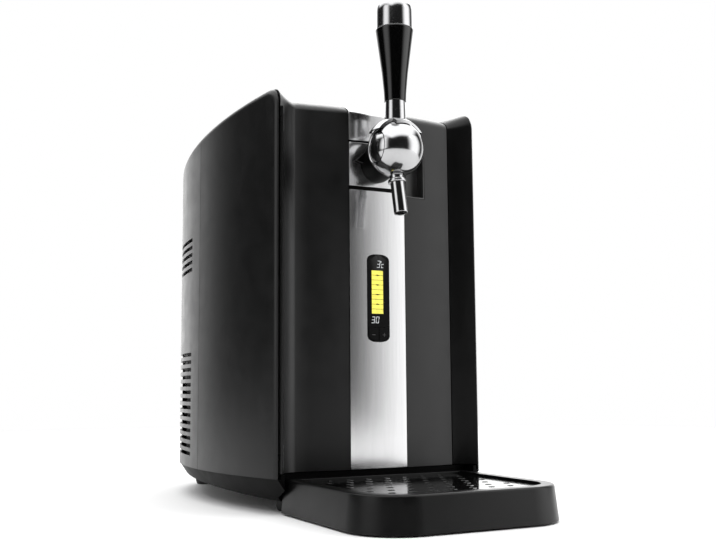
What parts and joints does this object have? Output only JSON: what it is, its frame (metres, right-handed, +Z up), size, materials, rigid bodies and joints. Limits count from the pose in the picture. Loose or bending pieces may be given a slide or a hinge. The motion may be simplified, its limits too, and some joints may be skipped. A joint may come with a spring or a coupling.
{
  "type": "mini keg beer dispenser",
  "caption": "Counter-top cooler for a mini keg of beer, with a hinged front door that carries a chrome ball tap and lever over a pull-out drip tray.",
  "frame": {"origin": "on the floor under the middle of the whole machine, tray included", "axes": "+X to the right seen from the front, +Y to the back, +Z up"},
  "size_m": [0.247, 0.498, 0.444],
  "materials": {
    "charcoal_plastic": "satin textured plastic",
    "black_plastic": "satin black plastic",
    "gloss_black": "glossy black plastic",
    "polished_grid": "polished dark plate",
    "strip_steel": "fine brushed steel",
    "chrome": "mirror chrome",
    "display_yellow": "backlit bar module",
    "liner_grey": "light grey moulded liner",
    "seal_rubber": "soft black rubber",
    "foam": "rigid foam",
    "bare_aluminium": "bare aluminium",
    "steel": "zinc plated steel",
    "board_green": "circuit board",
    "ceramic_white": "ceramic faces"
  },
  "bodies": {
    "cabinet": {"left_side_panel": "charcoal_plastic", "right_side_panel": "charcoal_plastic", "top_cover": "charcoal_plastic", "rear_cover": "charcoal_plastic", "base_pan": "black_plastic", "rubber_feet": "seal_rubber", "hinge_arms": "steel", "front_frame": "black_plastic", "chamber_liner": "liner_grey", "insulation": "foam", "cold_block": "bare_aluminium", "cooling_module": "ceramic_white", "heat_sink": "bare_aluminium", "fan_frame": "black_plastic", "power_supply": "steel", "mains_inlet": "black_plastic", "air_pump": "black_plastic", "rear_bulkhead": "steel", "control_board": "board_green", "keg_mat": "seal_rubber", "gas_coupler": "liner_grey", "striker_plate": "steel", "pan_screws": "steel"},
    "door": {"door_panel": "charcoal_plastic", "right_wing": "black_plastic", "strip_upper": "strip_steel", "strip_middle": "strip_steel", "strip_lower": "strip_steel", "display_window": "gloss_black", "display_board": "display_yellow", "door_liner": "liner_grey", "door_seal": "seal_rubber", "finger_cup": "black_plastic", "door_magnet": "steel", "tap_collar": "black_plastic", "tap_shank": "steel", "tap_ball": "chrome", "pivot_caps": "chrome", "spout": "chrome", "spout_ring": "chrome"},
    "lever": {"lever_crown": "chrome", "grip": "gloss_black", "end_cap": "chrome"},
    "minus_key": {"minus_button": "gloss_black"},
    "plus_key": {"plus_button": "gloss_black"},
    "tray": {"drip_tray": "black_plastic"},
    "grid": {"drip_grid": "polished_grid"},
    "fan": {"fan_rotor": "black_plastic"}
  },
  "joints": [
    {"name": "door_hinge", "type": "hinge", "parent": "cabinet", "child": "door", "pos_m": [-0.0943, -0.0957, 0.19], "axis": [0, 0, -1], "range_deg": [0, 100]},
    {"name": "lever_pull", "type": "hinge", "parent": "door", "child": "lever", "pos_m": [0, -0.126, 0.3112], "axis": [1, 0, 0], "range_deg": [0, 33]},
    {"name": "minus_press", "type": "slide", "parent": "door", "child": "minus_key", "axis": [0, 1, 0], "range_m": [0, 0.001], "stiffness_N_per_m": 400},
    {"name": "plus_press", "type": "slide", "parent": "door", "child": "plus_key", "axis": [0, 1, 0], "range_m": [0, 0.001], "stiffness_N_per_m": 400},
    {"name": "tray_slide", "type": "slide", "parent": "cabinet", "child": "tray", "axis": [0, -1, 0], "range_m": [0, 0.16]},
    {"name": "grid_lift", "type": "slide", "parent": "tray", "child": "grid", "axis": [0, 0, 1], "range_m": [0, 0.03]},
    {"name": "fan_spin", "type": "hinge", "parent": "cabinet", "child": "fan", "pos_m": [0, 0.171, 0.182], "axis": [0, 1, 0], "continuous": true}
  ]
}
